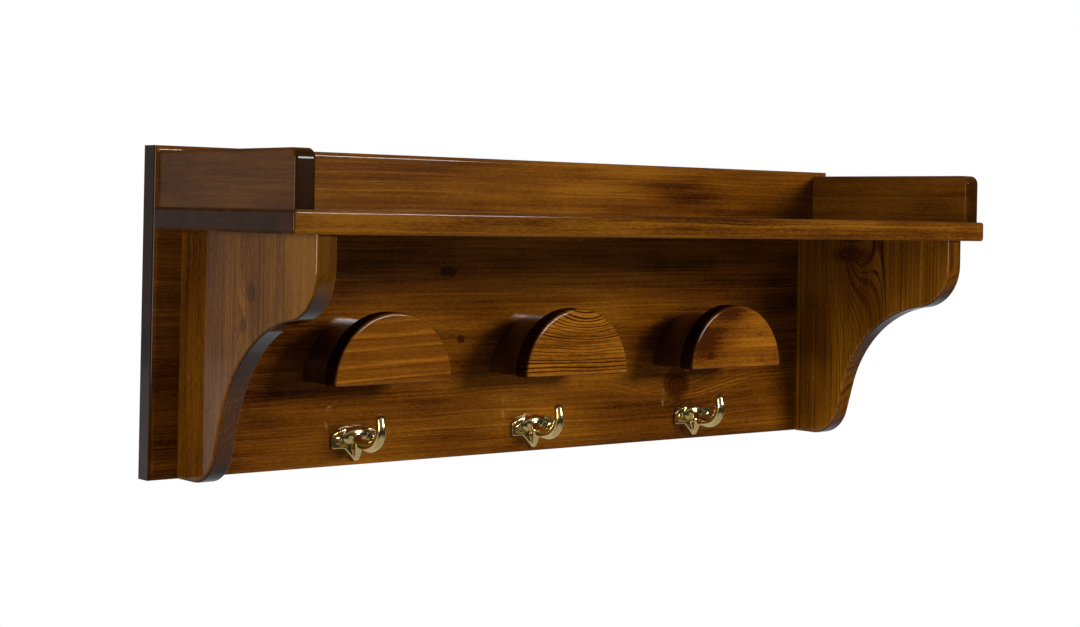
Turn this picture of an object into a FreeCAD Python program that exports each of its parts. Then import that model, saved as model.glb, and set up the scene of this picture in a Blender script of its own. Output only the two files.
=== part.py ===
import FreeCAD, Part
import math
import os
import Sketcher

# Bridle rack with a shelf: a wooden board that hangs on a wall, with a shelf between two low rails,
# two shaped brackets, three half-round bridle holders and three cast hooks. Millimetres.
# X runs along the rack, Y into the wall, Z up. The origin is the centre of the board's back face.

Vector = FreeCAD.Vector
Rotation = FreeCAD.Rotation
Placement = FreeCAD.Placement

doc = FreeCAD.newDocument("bridle_rack")

# Driving sizes: name, value, meaning

SIZES = [
    ("board_width", 914, "back board and shelf, end to end"),
    ("board_height", 310, "back board, foot to top"),
    ("stock", 21, "thickness of all the planed boards"),
    ("board_round", 4, "rounded front arrises of the back board"),
    ("arris", 3, "rounded arrises of the other wooden pieces"),
    ("shelf_depth", 237, "shelf, board face to front edge"),
    ("shelf_drop", 57, "board top down to the shelf's top"),
    ("rail_height", 52, "rail above the shelf"),
    ("rail_inset", 4, "shelf end to the rail's outer face"),
    ("rail_setback", 6, "shelf front edge to the rail's front end"),
    ("rail_nose", 9, "rounded top front corner of a rail"),
    ("bracket_inset", 29, "shelf end to the bracket's outer face"),
    ("bracket_setback", 8.5, "shelf front edge to the bracket's front"),
    ("knee_drop", 27.5, "straight front of the bracket below the shelf"),
    ("belly_drop", 48.4, "height of the bracket's round belly"),
    ("belly_back", 42.2, "bracket front back to where the belly ends"),
    ("ankle_height", 59.4, "board foot to where the hollow sweep ends"),
    ("ankle_reach", 74.3, "board face to where the hollow sweep ends"),
    ("toe_radius", 38.6, "round toe of the brackets"),
    ("holder_pitch", 233.4, "between the centres of the bridle holders"),
    ("holder_height", 86, "board foot to the holders' flat underside"),
    ("drum_radius", 59, "half drum that carries the headpiece"),
    ("drum_length", 52, "half drum, board face to the half disc"),
    ("disc_radius", 69.5, "half disc in front of the drum"),
    ("hook_left", -230, "left hook from the rack's middle"),
    ("hook_middle", -2, "middle hook from the rack's middle"),
    ("hook_right", 235.5, "right hook from the rack's middle"),
    ("hook_height", 26, "board foot to the hooks' screws"),
    ("plate_width", 57, "hook plate, ear to ear"),
    ("plate_ear", 16.8, "height of the hook plate's ears"),
    ("plate_arch", 13.4, "screw line up to the top of the plate"),
    ("plate_tail", 22, "screw line down to the pointed tail"),
    ("tail_width", 24, "width of the pointed tail at the ears"),
    ("plate_thick", 4.5, "hook plate"),
    ("plate_corner", 2.5, "rounded corners of the hook plate"),
    ("plate_arris", 1.2, "rounded front edge of the hook plate"),
    ("boss_radius", 8, "dome where the arm leaves the plate"),
    ("boss_rise", 2, "dome's centre above the screw line"),
    ("arm_radius", 4.5, "round section of the hook's arm"),
    ("arm_root", 3, "start of the arm's centre line inside the plate"),
    ("arm_reach", 46, "board face to the upright part of the arm"),
    ("arm_bend", 20, "bend of the arm's centre line"),
    ("arm_dip", 6.5, "screw line down to the bend's lowest point"),
    ("arm_tip", 23.5, "screw line up to the centre of the round tip"),
    ("screw_head_radius", 4, "wood screw head"),
    ("screw_head_height", 3, "wood screw head"),
    ("screw_radius", 2, "wood screw shank"),
    ("screw_length", 50, "wood screw with its head"),
    ("screw_sink", 1, "wood screw heads below the surface"),
    ("small_head_radius", 3.6, "hook and hanger screw head"),
    ("small_head_height", 1.8, "hook and hanger screw head"),
    ("small_radius", 1.6, "hook and hanger screw shank"),
    ("small_length", 16, "hook and hanger screw with its head"),
    ("point_length", 4, "tapered point of every screw"),
    ("clearance", 0.3, "room round a screw, dowel or plate"),
    ("shelf_screw_pitch", 180, "screws from behind into the shelf"),
    ("bracket_screw_low", 40, "board foot to the lower bracket screw"),
    ("bracket_screw_high", 160, "board foot to the upper bracket screw"),
    ("top_screw_back", 60, "board face to the rear screw into a bracket top"),
    ("top_screw_front", 170, "board face to the front screw into a bracket top"),
    ("plug_height", 6, "wooden plug over a screw in the shelf"),
    ("rail_screw_back", 50, "board face to the rear screw into a rail"),
    ("rail_screw_front", 180, "board face to the front screw into a rail"),
    ("drum_screw_spacing", 60, "two screws from behind into a drum"),
    ("drum_screw_rise", 22, "those screws above the flat underside"),
    ("dowel_spacing", 44, "two dowels between drum and half disc"),
    ("dowel_rise", 24, "those dowels above the flat underside"),
    ("dowel_radius", 4, "dowel"),
    ("dowel_in_drum", 16, "dowel's length in the drum"),
    ("dowel_in_disc", 12, "dowel's length in the half disc"),
    ("hanger_spacing", 406.4, "between the two keyhole hangers"),
    ("hanger_drop", 40, "board top to the middle of a hanger"),
    ("hanger_width", 18, "hanger plate"),
    ("hanger_height", 44, "hanger plate"),
    ("hanger_thick", 2, "hanger plate"),
    ("hanger_sink", 2, "hanger plate below the board's back"),
    ("hanger_screw_spacing", 34, "two screws of a hanger"),
    ("key_radius", 5, "keyhole's round entry"),
    ("key_drop", 5, "entry's centre below the hanger's middle"),
    ("key_slot", 2.5, "half the width of the keyhole's slot"),
    ("key_rise", 8, "top of the slot above the hanger's middle"),
    ("pocket_depth", 8, "room behind the hanger for a wall screw's head"),
    ("pocket_width", 13, "room behind the hanger for a wall screw's head"),
    ("pocket_height", 24, "room behind the hanger for a wall screw's head"),
]

sheet = doc.addObject("Spreadsheet::Sheet", "Sizes")
for row, (alias, value, meaning) in enumerate(SIZES, start=1):
    sheet.set(f"A{row}", meaning)
    sheet.set(f"B{row}", str(value))
    sheet.setAlias(f"B{row}", alias)
doc.recompute()

# Planes that several pieces share, as expressions

BOARD_FACE = "-Sizes.stock"
BOARD_FOOT = "-Sizes.board_height / 2"
SHELF_TOP = "(Sizes.board_height / 2 - Sizes.shelf_drop)"
SHELF_FOOT = f"({SHELF_TOP} - Sizes.stock)"
SHELF_FRONT = "(-Sizes.stock - Sizes.shelf_depth)"
BRACKET_HEIGHT = "(Sizes.board_height - Sizes.shelf_drop - Sizes.stock)"
BRACKET_DEPTH = "(Sizes.shelf_depth - Sizes.bracket_setback)"
BRACKET_MIDDLE = "(Sizes.board_width / 2 - Sizes.bracket_inset - Sizes.stock / 2)"
RAIL_MIDDLE = "(Sizes.board_width / 2 - Sizes.rail_inset - Sizes.stock / 2)"
HOLDER_FOOT = "(Sizes.holder_height - Sizes.board_height / 2)"
DISC_BACK = "(-Sizes.stock - Sizes.drum_length)"
HOOK_LINE = "(Sizes.hook_height - Sizes.board_height / 2)"
HANGER_MIDDLE = "(Sizes.board_height / 2 - Sizes.hanger_drop)"

SIDES = {"left": -1, "right": 1}
THIRDS = {"left": -1, "middle": 0, "right": 1}

# Turns that bring a primitive's own +Z to the direction named
TURNS = {
    "+Z": Rotation(),
    "-Z": Rotation(Vector(1, 0, 0), 180),
    "-Y": Rotation(Vector(1, 0, 0), 90),
    "+Y": Rotation(Vector(1, 0, 0), -90),
}
NEAR = 1e-4


def size(alias):
    """A driving size as a number, for first positions in a sketch."""
    return float(sheet.get(alias))


def bind(thing, **expressions):
    """Tie properties of an object to expressions."""
    for prop, expression in expressions.items():
        thing.setExpression(prop, expression)


def put(thing, start, along="+Z"):
    """Place an object at a point given by three expressions."""
    thing.Placement = Placement(Vector(), TURNS[along])
    for axis, expression in zip("xyz", start):
        thing.setExpression(f"Placement.Base.{axis}", expression)


def moved(start, along, distance):
    """Three expressions of a point, moved along a direction such as -Y."""
    axis = "XYZ".index(along[1])
    shifted = list(start)
    shifted[axis] = f"{start[axis]} {along[0]} ({distance})"
    return shifted


def rod(name, radius, length, start, along):
    """A cylinder from a start point along a direction."""
    cylinder = doc.addObject("Part::Cylinder", name)
    bind(cylinder, Radius=radius, Height=length)
    put(cylinder, start, along)
    return cylinder


def block(name, length, width, height, start):
    """A box from its low corner."""
    box = doc.addObject("Part::Box", name)
    bind(box, Length=length, Width=width, Height=height)
    put(box, start)
    return box


def joined(name, pieces):
    """Several solids as one object."""
    fuse = doc.addObject("Part::MultiFuse", name)
    fuse.Shapes = pieces
    return fuse


def less(name, base, tool):
    """A solid with a tool's shape taken away."""
    cut = doc.addObject("Part::Cut", name)
    cut.Base = base
    cut.Tool = tool
    return cut


def drilled(name, blank, holes):
    """A sub-part: a blank with groups of holes cut one after the other."""
    piece = blank
    for number, tool in enumerate(holes, start=1):
        last = number == len(holes)
        piece = less(name if last else f"{name}_cut_{number}", piece, tool)
    piece.Label = name
    return piece


def screws(name, kind, length, places, along):
    """A group of equal screws: a round head, a shank and a tapered point each."""
    radius = f"Sizes.{kind}_radius"
    head = f"Sizes.{kind}_head_height"
    shank = f"{length} - {head} - Sizes.point_length"
    pieces = []
    for number, start in enumerate(places, start=1):
        stem = f"{name}_{number}"
        neck = moved(start, along, head)
        pieces.append(rod(f"{stem}_head", f"Sizes.{kind}_head_radius", head, start, along))
        pieces.append(rod(f"{stem}_shank", radius, shank, neck, along))
        point = doc.addObject("Part::Cone", f"{stem}_point")
        bind(point, Radius1=radius, Radius2=f"{radius} / 4", Height="Sizes.point_length")
        put(point, moved(neck, along, shank), along)
        pieces.append(point)
    group = joined(name, pieces)
    group.Label = name
    return group


def screw_holes(name, kind, length, mouth, places, along):
    """Stepped holes for a group of screws; mouth is the recess in front of each head."""
    wide = f"Sizes.{kind}_head_radius + Sizes.clearance"
    narrow = f"Sizes.{kind}_radius + Sizes.clearance"
    head = f"Sizes.{kind}_head_height"
    backwards = along.translate(str.maketrans("+-", "-+"))
    pieces = []
    for number, start in enumerate(places, start=1):
        stem = f"{name}_{number}"
        outside = moved(start, backwards, mouth)
        recess = f"{mouth} + {head}"
        deep = f"{length} - {head} + Sizes.clearance"
        pieces.append(rod(f"{stem}_recess", wide, recess, outside, along))
        pieces.append(rod(f"{stem}_bore", narrow, deep, moved(start, along, head), along))
    return joined(name, pieces)


# Sketches and solid bodies


def new_body(name, start):
    """A body whose own origin stands at a point given by three expressions."""
    body = doc.addObject("PartDesign::Body", name)
    put(body, start)
    return body


def new_sketch(body, name, plane):
    """A sketch on one of the body's own origin planes."""
    sketch = body.newObject("Sketcher::SketchObject", name)
    planes = [feature for feature in body.Origin.OriginFeatures if feature.Role == plane]
    sketch.AttachmentSupport = (planes[0], [""])
    sketch.MapMode = "FlatFace"
    return sketch


def line(sketch, start, end):
    """Add a line to a sketch and give its number."""
    return sketch.addGeometry(Part.LineSegment(Vector(*start, 0), Vector(*end, 0)), False)


def arc(sketch, centre, radius, first, last):
    """Add an arc, turning left from the first angle to the last, in degrees."""
    circle = Part.Circle(Vector(*centre, 0), Vector(0, 0, 1), radius)
    bow = Part.ArcOfCircle(circle, math.radians(first), math.radians(last))
    return sketch.addGeometry(bow, False)


def rule(sketch, kind, *places):
    """Add a geometric constraint."""
    return sketch.addConstraint(Sketcher.Constraint(kind, *places))


def measure(sketch, kind, places, value, expression):
    """Add a dimension and tie it to an expression."""
    number = sketch.addConstraint(Sketcher.Constraint(kind, *places, value))
    sketch.setExpression(f"Constraints[{number}]", expression)


def pad(body, sketch, name, length):
    """A solid drawn out of a sketch along the sketch's normal."""
    feature = body.newObject("PartDesign::Pad", name)
    feature.Profile = sketch
    bind(feature, Length=length)
    return feature


def rounded(body, feature, name, radius, chosen):
    """Round the edges of a feature that a test picks."""
    doc.recompute()
    edges = feature.Shape.Edges
    names = [f"Edge{number}" for number, edge in enumerate(edges, start=1) if chosen(edge)]
    fillet = body.newObject("PartDesign::Fillet", name)
    fillet.Base = (feature, names)
    bind(fillet, Radius=radius)
    return fillet


START, END, CENTRE = 1, 2, 3
ORIGIN = (-1, 1)
ACROSS, UPRIGHT = -1, -2


def board_blank(name, length, width, height, start, radius, chosen):
    """A rectangular board with some arrises rounded."""
    body = new_body(name, start)
    box = body.newObject("PartDesign::AdditiveBox", f"{name}_box")
    bind(box, Length=length, Width=width, Height=height)
    rounded(body, box, f"{name}_round", radius, chosen)
    return body


def side_edge(edge):
    """True for an edge that lies in one of the upright side faces of a sawn piece."""
    return edge.BoundBox.XLength < NEAR


def rail_blank(name, start):
    """A rail: a low upright board with its top front corner rounded."""
    body = new_body(name, start)
    sketch = new_sketch(body, f"{name}_outline", "YZ_Plane")
    long = size("shelf_depth") - size("rail_setback")
    high, nose = size("rail_height"), size("rail_nose")
    foot = line(sketch, (0, 0), (-long, 0))
    front = line(sketch, (-long, 0), (-long, high - nose))
    bow = arc(sketch, (nose - long, high - nose), nose, 90, 180)
    top = line(sketch, (nose - long, high), (0, high))
    back = line(sketch, (0, high), (0, 0))
    rule(sketch, "Coincident", foot, START, *ORIGIN)
    rule(sketch, "Coincident", foot, END, front, START)
    rule(sketch, "Tangent", front, END, bow, END)
    rule(sketch, "Tangent", bow, START, top, START)
    rule(sketch, "Coincident", top, END, back, START)
    rule(sketch, "Coincident", back, END, foot, START)
    rule(sketch, "Horizontal", foot)
    rule(sketch, "Vertical", front)
    rule(sketch, "Horizontal", top)
    rule(sketch, "Vertical", back)
    measure(sketch, "DistanceX", (foot, END, foot, START), long, "Sizes.shelf_depth - Sizes.rail_setback")
    measure(sketch, "DistanceY", (back, END, back, START), high, "Sizes.rail_height")
    measure(sketch, "Radius", (bow,), nose, "Sizes.rail_nose")
    board = pad(body, sketch, f"{name}_board", "Sizes.stock")

    def shows(edge):
        box = edge.BoundBox
        return side_edge(edge) and box.ZMax > NEAR and box.YMin < -NEAR

    rounded(body, board, f"{name}_round", "Sizes.arris", shows)
    return body


def bracket_curve():
    """Centres, radii and angles of the bracket's three arcs at the driving sizes."""
    deep = size("shelf_depth") - size("bracket_setback")
    high = size("board_height") - size("shelf_drop") - size("stock")
    knee = Vector(-deep, high - size("knee_drop"), 0)
    waist = knee + Vector(size("belly_back"), -size("belly_drop"), 0)
    ankle = Vector(-size("ankle_reach"), size("ankle_height"), 0)
    belly = (size("belly_back") ** 2 + size("belly_drop") ** 2) / (2 * size("belly_back"))
    belly_centre = knee + Vector(belly, 0, 0)
    outward = (waist - belly_centre).normalize()
    chord = ankle - waist
    sweep = chord.dot(chord) / (2 * chord.dot(outward))
    sweep_centre = waist + outward * sweep
    inward = (ankle - sweep_centre).normalize()
    down = Vector(inward.y, -inward.x, 0)
    toe = size("toe_radius")
    toe_start = ankle + down * ((toe * (1 - inward.y) - ankle.y) / down.y)
    toe_centre = toe_start + inward * toe
    return knee, waist, ankle, toe_start, (belly, belly_centre), (sweep, sweep_centre), (toe, toe_centre)


def bearing(point, centre):
    """The direction from a centre to a point, from 0 to 360 degrees."""
    return math.degrees(math.atan2(point.y - centre.y, point.x - centre.x)) % 360


def bracket_blank(name, start):
    """A bracket: straight front under the shelf, round belly, hollow sweep, taper and round toe."""
    body = new_body(name, start)
    sketch = new_sketch(body, f"{name}_outline", "YZ_Plane")
    knee, waist, ankle, toe_start, belly, sweep, toe = bracket_curve()
    high = size("board_height") - size("shelf_drop") - size("stock")
    deep = -knee.x
    toe_end = toe[1].x
    foot = line(sketch, (0, 0), (toe_end, 0))
    tip = arc(sketch, toe[1][:2], toe[0], bearing(toe_start, toe[1]), 270)
    taper = line(sketch, toe_start[:2], ankle[:2])
    hollow = arc(sketch, sweep[1][:2], sweep[0], bearing(ankle, sweep[1]), bearing(waist, sweep[1]))
    bulge = arc(sketch, belly[1][:2], belly[0], 180, bearing(waist, belly[1]))
    front = line(sketch, knee[:2], (-deep, high))
    top = line(sketch, (-deep, high), (0, high))
    back = line(sketch, (0, high), (0, 0))
    rule(sketch, "Coincident", foot, START, *ORIGIN)
    rule(sketch, "Horizontal", foot)
    rule(sketch, "Tangent", foot, END, tip, END)
    rule(sketch, "Tangent", tip, START, taper, START)
    rule(sketch, "Tangent", taper, END, hollow, START)
    rule(sketch, "Tangent", hollow, END, bulge, END)
    rule(sketch, "Tangent", bulge, START, front, START)
    rule(sketch, "Vertical", front)
    rule(sketch, "Coincident", front, END, top, START)
    rule(sketch, "Horizontal", top)
    rule(sketch, "Coincident", top, END, back, START)
    rule(sketch, "Vertical", back)
    rule(sketch, "Coincident", back, END, foot, START)
    measure(sketch, "DistanceX", (top, START, top, END), deep, BRACKET_DEPTH)
    measure(sketch, "DistanceY", (back, END, back, START), high, BRACKET_HEIGHT)
    measure(sketch, "DistanceY", (front, START, front, END), high - knee.y, "Sizes.knee_drop")
    measure(sketch, "DistanceX", (bulge, START, bulge, END), waist.x - knee.x, "Sizes.belly_back")
    measure(sketch, "DistanceY", (bulge, END, bulge, START), knee.y - waist.y, "Sizes.belly_drop")
    measure(sketch, "DistanceX", (taper, END, *ORIGIN), -ankle.x, "Sizes.ankle_reach")
    measure(sketch, "DistanceY", (*ORIGIN, taper, END), ankle.y, "Sizes.ankle_height")
    measure(sketch, "Radius", (tip,), toe[0], "Sizes.toe_radius")
    board = pad(body, sketch, f"{name}_board", "Sizes.stock")

    def shows(edge):
        box = edge.BoundBox
        return side_edge(edge) and box.ZMin < high - NEAR and box.YMin < -NEAR

    rounded(body, board, f"{name}_round", "Sizes.arris", shows)
    return body


def half_round(name, radius_name, length, start):
    """A half cylinder, flat side down, drawn out to the front."""
    body = new_body(name, start)
    sketch = new_sketch(body, f"{name}_outline", "XZ_Plane")
    radius = size(radius_name)
    bow = arc(sketch, (0, 0), radius, 0, 180)
    flat = line(sketch, (-radius, 0), (radius, 0))
    rule(sketch, "Coincident", bow, CENTRE, *ORIGIN)
    rule(sketch, "Coincident", bow, END, flat, START)
    rule(sketch, "Coincident", flat, END, bow, START)
    rule(sketch, "PointOnObject", bow, START, ACROSS)
    rule(sketch, "PointOnObject", bow, END, ACROSS)
    measure(sketch, "Radius", (bow,), radius, f"Sizes.{radius_name}")
    return body, pad(body, sketch, f"{name}_solid", length)


def hook_blank(name, start):
    """A cast hook: plate with two ears, an arch and a pointed tail, a dome and an upturned arm."""
    body = new_body(name, start)
    half, ear = size("plate_width") / 2, size("plate_ear") / 2
    arch, tail = size("plate_arch"), size("plate_tail")
    hip = size("tail_width") / 2
    rise = arch - ear
    bow_radius = (half ** 2 + rise ** 2) / (2 * rise)
    bow_middle = arch - bow_radius
    lean = math.degrees(math.asin(half / bow_radius))
    sketch = new_sketch(body, f"{name}_outline", "XZ_Plane")
    bow = arc(sketch, (0, bow_middle), bow_radius, 90 - lean, 90 + lean)
    corners = [(-half, ear), (-half, -ear), (-hip, -ear), (0, -tail), (hip, -ear), (half, -ear), (half, ear)]
    lines = [line(sketch, first, last) for first, last in zip(corners, corners[1:])]
    left, left_foot, left_tail, right_tail, right_foot, right = lines
    rule(sketch, "Coincident", bow, END, left, START)
    for first, last in zip(lines, lines[1:]):
        rule(sketch, "Coincident", first, END, last, START)
    rule(sketch, "Coincident", right, END, bow, START)
    rule(sketch, "Symmetric", left, START, right, END, UPRIGHT)
    rule(sketch, "Symmetric", left, END, right, START, UPRIGHT)
    rule(sketch, "Symmetric", left_tail, START, right_tail, END, UPRIGHT)
    rule(sketch, "PointOnObject", left_tail, END, UPRIGHT)
    rule(sketch, "Symmetric", left, START, left, END, ACROSS)
    rule(sketch, "Horizontal", left_foot)
    measure(sketch, "DistanceX", (left, START, right, END), 2 * half, "Sizes.plate_width")
    measure(sketch, "DistanceY", (left, END, left, START), 2 * ear, "Sizes.plate_ear")
    measure(sketch, "DistanceX", (left_tail, START, right_tail, END), 2 * hip, "Sizes.tail_width")
    measure(sketch, "DistanceY", (left_tail, END, *ORIGIN), tail, "Sizes.plate_tail")
    crown = "(Sizes.plate_arch - Sizes.plate_ear / 2)"
    measure(sketch, "Radius", (bow,), bow_radius, f"((Sizes.plate_width / 2)^2 + {crown}^2) / (2 * {crown})")
    plate = pad(body, sketch, f"{name}_plate", "Sizes.plate_thick")

    def corner(edge):
        outer = abs(edge.CenterOfMass.x) > half - NEAR or abs(edge.CenterOfMass.x) < NEAR
        return edge.BoundBox.YLength > NEAR and outer

    def front(edge):
        return edge.BoundBox.YMax < NEAR - size("plate_thick")

    soft = rounded(body, plate, f"{name}_corners", "Sizes.plate_corner", corner)
    rounded(body, soft, f"{name}_front", "Sizes.plate_arris", front)
    dome = body.newObject("PartDesign::AdditiveSphere", f"{name}_boss")
    dome.Angle1 = 0
    bind(dome, Radius="Sizes.boss_radius")
    put(dome, ("0", "-Sizes.plate_thick", "Sizes.boss_rise"), "-Y")
    path = new_sketch(body, f"{name}_path", "YZ_Plane")
    reach, bend = -size("arm_reach"), size("arm_bend")
    middle = Vector(reach + bend, bend - size("arm_dip"), 0)
    root = Vector(-size("arm_root"), 0, 0)
    apart = middle - root
    slope = math.atan2(apart.y, -apart.x) - math.asin(bend / apart.Length)
    run = math.sqrt(apart.Length ** 2 - bend ** 2)
    touch = root + Vector(-math.cos(slope), math.sin(slope), 0) * run
    inner = line(path, root[:2], touch[:2])
    turn = arc(path, middle[:2], bend, 180, bearing(touch, middle))
    rising = line(path, (reach, middle.y), (reach, size("arm_tip")))
    rule(path, "Tangent", inner, END, turn, END)
    rule(path, "Tangent", turn, START, rising, START)
    rule(path, "Vertical", rising)
    rule(path, "PointOnObject", inner, START, ACROSS)
    measure(path, "DistanceX", (inner, START, *ORIGIN), size("arm_root"), "Sizes.arm_root")
    measure(path, "DistanceX", (rising, END, *ORIGIN), -reach, "Sizes.arm_reach")
    measure(path, "DistanceY", (*ORIGIN, rising, END), size("arm_tip"), "Sizes.arm_tip")
    measure(path, "Radius", (turn,), bend, "Sizes.arm_bend")
    measure(path, "DistanceY", (*ORIGIN, turn, CENTRE), middle.y, "Sizes.arm_bend - Sizes.arm_dip")
    doc.recompute()
    section = body.newObject("Sketcher::SketchObject", f"{name}_section")
    section.AttachmentSupport = [(path, "Edge1")]
    section.MapMode = "NormalToEdge"
    ring = section.addGeometry(Part.Circle(Vector(), Vector(0, 0, 1), size("arm_radius")), False)
    rule(section, "Coincident", ring, CENTRE, *ORIGIN)
    measure(section, "Radius", (ring,), size("arm_radius"), "Sizes.arm_radius")
    arm = body.newObject("PartDesign::AdditivePipe", f"{name}_arm")
    arm.Profile = section
    arm.Spine = (path, ["Edge1", "Edge2", "Edge3"])
    ball = body.newObject("PartDesign::AdditiveSphere", f"{name}_tip")
    bind(ball, Radius="Sizes.arm_radius")
    put(ball, ("0", "-Sizes.arm_reach", "Sizes.arm_tip"))
    return body


# Where each group of fasteners starts, as lists of points

back_start = "-Sizes.screw_sink"
shelf_edge_line = f"({SHELF_TOP} - Sizes.stock / 2)"
small_length = "Sizes.small_length"
long_length = "Sizes.screw_length"
hook_start = f"({BOARD_FACE} - Sizes.plate_thick - Sizes.small_head_height)"
hanger_start = "(Sizes.small_head_height - Sizes.hanger_sink)"

shelf_places = [(f"{step} * Sizes.shelf_screw_pitch", back_start, shelf_edge_line) for step in range(-2, 3)]
bracket_places = [
    (f"{sign} * {BRACKET_MIDDLE}", back_start, f"{BOARD_FOOT} + Sizes.bracket_screw_{level}")
    for sign in SIDES.values() for level in ("low", "high")
]
rail_back_places = [
    (f"{sign} * {RAIL_MIDDLE}", back_start, f"{SHELF_TOP} + Sizes.rail_height / 2") for sign in SIDES.values()
]
drum_places = [
    (f"{third} * Sizes.holder_pitch + {sign} * Sizes.drum_screw_spacing / 2", back_start,
     f"{HOLDER_FOOT} + Sizes.drum_screw_rise")
    for third in THIRDS.values() for sign in SIDES.values()
]
top_places = [
    (f"{sign} * {BRACKET_MIDDLE}", f"{BOARD_FACE} - Sizes.top_screw_{end}", f"{SHELF_TOP} - Sizes.plug_height")
    for sign in SIDES.values() for end in ("back", "front")
]
rail_places = [
    (f"{sign} * {RAIL_MIDDLE}", f"{BOARD_FACE} - Sizes.rail_screw_{end}", f"{SHELF_FOOT} + Sizes.screw_sink")
    for sign in SIDES.values() for end in ("back", "front")
]
dowel_places = [
    (f"{third} * Sizes.holder_pitch + {sign} * Sizes.dowel_spacing / 2",
     f"{DISC_BACK} + Sizes.dowel_in_drum", f"{HOLDER_FOOT} + Sizes.dowel_rise")
    for third in THIRDS.values() for sign in SIDES.values()
]
hook_screw_spacing = "(Sizes.plate_width - Sizes.plate_ear + Sizes.small_head_radius)"
hook_places = [
    (f"Sizes.hook_{third} + {sign} * {hook_screw_spacing} / 2", hook_start, HOOK_LINE)
    for third in THIRDS for sign in SIDES.values()
]
hanger_places = [
    (f"{side} * Sizes.hanger_spacing / 2", hanger_start, f"{HANGER_MIDDLE} + {end} * Sizes.hanger_screw_spacing / 2")
    for side in SIDES.values() for end in SIDES.values()
]

# Fasteners

nodes = [
    screws("shelf_screws", "screw", long_length, shelf_places, "-Y"),
    screws("bracket_screws", "screw", long_length, bracket_places, "-Y"),
    screws("rail_back_screws", "screw", long_length, rail_back_places, "-Y"),
    screws("drum_screws", "screw", long_length, drum_places, "-Y"),
    screws("bracket_top_screws", "screw", long_length, top_places, "-Z"),
    screws("rail_screws", "screw", long_length, rail_places, "+Z"),
    screws("hook_screws", "small", small_length, hook_places, "+Y"),
    screws("hanger_screws", "small", small_length, hanger_places, "-Y"),
]

plugs = []
for number, start in enumerate(top_places, start=1):
    plugs.append(rod(f"shelf_plug_{number}", "Sizes.screw_head_radius", "Sizes.plug_height", start, "+Z"))
nodes.append(joined("shelf_plugs", plugs))

dowel_length = "Sizes.dowel_in_drum + Sizes.dowel_in_disc"
dowels = []
dowel_bores = []
for number, start in enumerate(dowel_places, start=1):
    dowels.append(rod(f"disc_dowel_{number}", "Sizes.dowel_radius", dowel_length, start, "-Y"))
    bore_start = moved(start, "+Y", "Sizes.clearance")
    bore_radius = "Sizes.dowel_radius + Sizes.clearance"
    bore_length = f"{dowel_length} + 2 * Sizes.clearance"
    dowel_bores.append(rod(f"dowel_bore_{number}", bore_radius, bore_length, bore_start, "-Y"))
nodes.append(joined("disc_dowels", dowels))
dowel_holes = joined("dowel_holes", dowel_bores)

# Holes for them, each group one tool that cuts every piece it passes through

sink = "Sizes.screw_sink"
shelf_holes = screw_holes("shelf_holes", "screw", long_length, sink, shelf_places, "-Y")
bracket_holes = screw_holes("bracket_holes", "screw", long_length, sink, bracket_places, "-Y")
rail_back_holes = screw_holes("rail_back_holes", "screw", long_length, sink, rail_back_places, "-Y")
drum_holes = screw_holes("drum_holes", "screw", long_length, sink, drum_places, "-Y")
top_holes = screw_holes("top_holes", "screw", long_length, "Sizes.plug_height", top_places, "-Z")
rail_holes = screw_holes("rail_holes", "screw", long_length, sink, rail_places, "+Z")
hook_holes = screw_holes("hook_holes", "small", small_length, "Sizes.clearance", hook_places, "+Y")
hanger_holes = screw_holes("hanger_holes", "small", small_length, "Sizes.clearance", hanger_places, "-Y")

# Keyhole hangers and the recesses that hold them

recesses = []
for side, sign in SIDES.items():
    middle = f"{sign} * Sizes.hanger_spacing / 2"
    plate_back = "(-Sizes.hanger_sink - Sizes.hanger_thick)"
    plate_start = (
        f"{middle} - Sizes.hanger_width / 2", plate_back, f"{HANGER_MIDDLE} - Sizes.hanger_height / 2")
    plate = block(
        f"{side}_hanger_plate", "Sizes.hanger_width", "Sizes.hanger_thick", "Sizes.hanger_height", plate_start)
    key_start = (middle, "-Sizes.hanger_sink", f"{HANGER_MIDDLE} - Sizes.key_drop")
    top_start = (middle, "-Sizes.hanger_sink", f"{HANGER_MIDDLE} + Sizes.key_rise - Sizes.key_slot")
    slot_start = (f"{middle} - Sizes.key_slot", plate_back, key_start[2])
    slot_height = "Sizes.key_drop + Sizes.key_rise - Sizes.key_slot"
    keyhole = joined(f"{side}_keyhole", [
        rod(f"{side}_key_entry", "Sizes.key_radius", "Sizes.hanger_thick", key_start, "-Y"),
        rod(f"{side}_key_top", "Sizes.key_slot", "Sizes.hanger_thick", top_start, "-Y"),
        block(f"{side}_key_slot", "2 * Sizes.key_slot", "Sizes.hanger_thick", slot_height, slot_start),
    ])
    nodes.append(drilled(f"{side}_hanger", plate, [keyhole, hanger_holes]))
    recess_start = (
        f"{plate_start[0]} - Sizes.clearance", plate_back, f"{plate_start[2]} - Sizes.clearance")
    recess_depth = "Sizes.hanger_sink + Sizes.hanger_thick"
    recesses.append(block(
        f"{side}_hanger_recess", "Sizes.hanger_width + 2 * Sizes.clearance", recess_depth,
        "Sizes.hanger_height + 2 * Sizes.clearance", recess_start))
    pocket_start = (
        f"{middle} - Sizes.pocket_width / 2", f"{plate_back} - Sizes.pocket_depth",
        f"{HANGER_MIDDLE} - Sizes.pocket_height / 2")
    recesses.append(block(
        f"{side}_hanger_pocket", "Sizes.pocket_width", "Sizes.pocket_depth", "Sizes.pocket_height", pocket_start))
hanger_recesses = joined("hanger_recesses", recesses)

# Boards


def on_front(edge):
    """True for an edge in the front face of a board, whose own Y starts there."""
    return edge.BoundBox.YMax < NEAR


def reaches_front(edge):
    """True for an edge that touches the front face of a board."""
    return edge.BoundBox.YMin < NEAR


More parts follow.
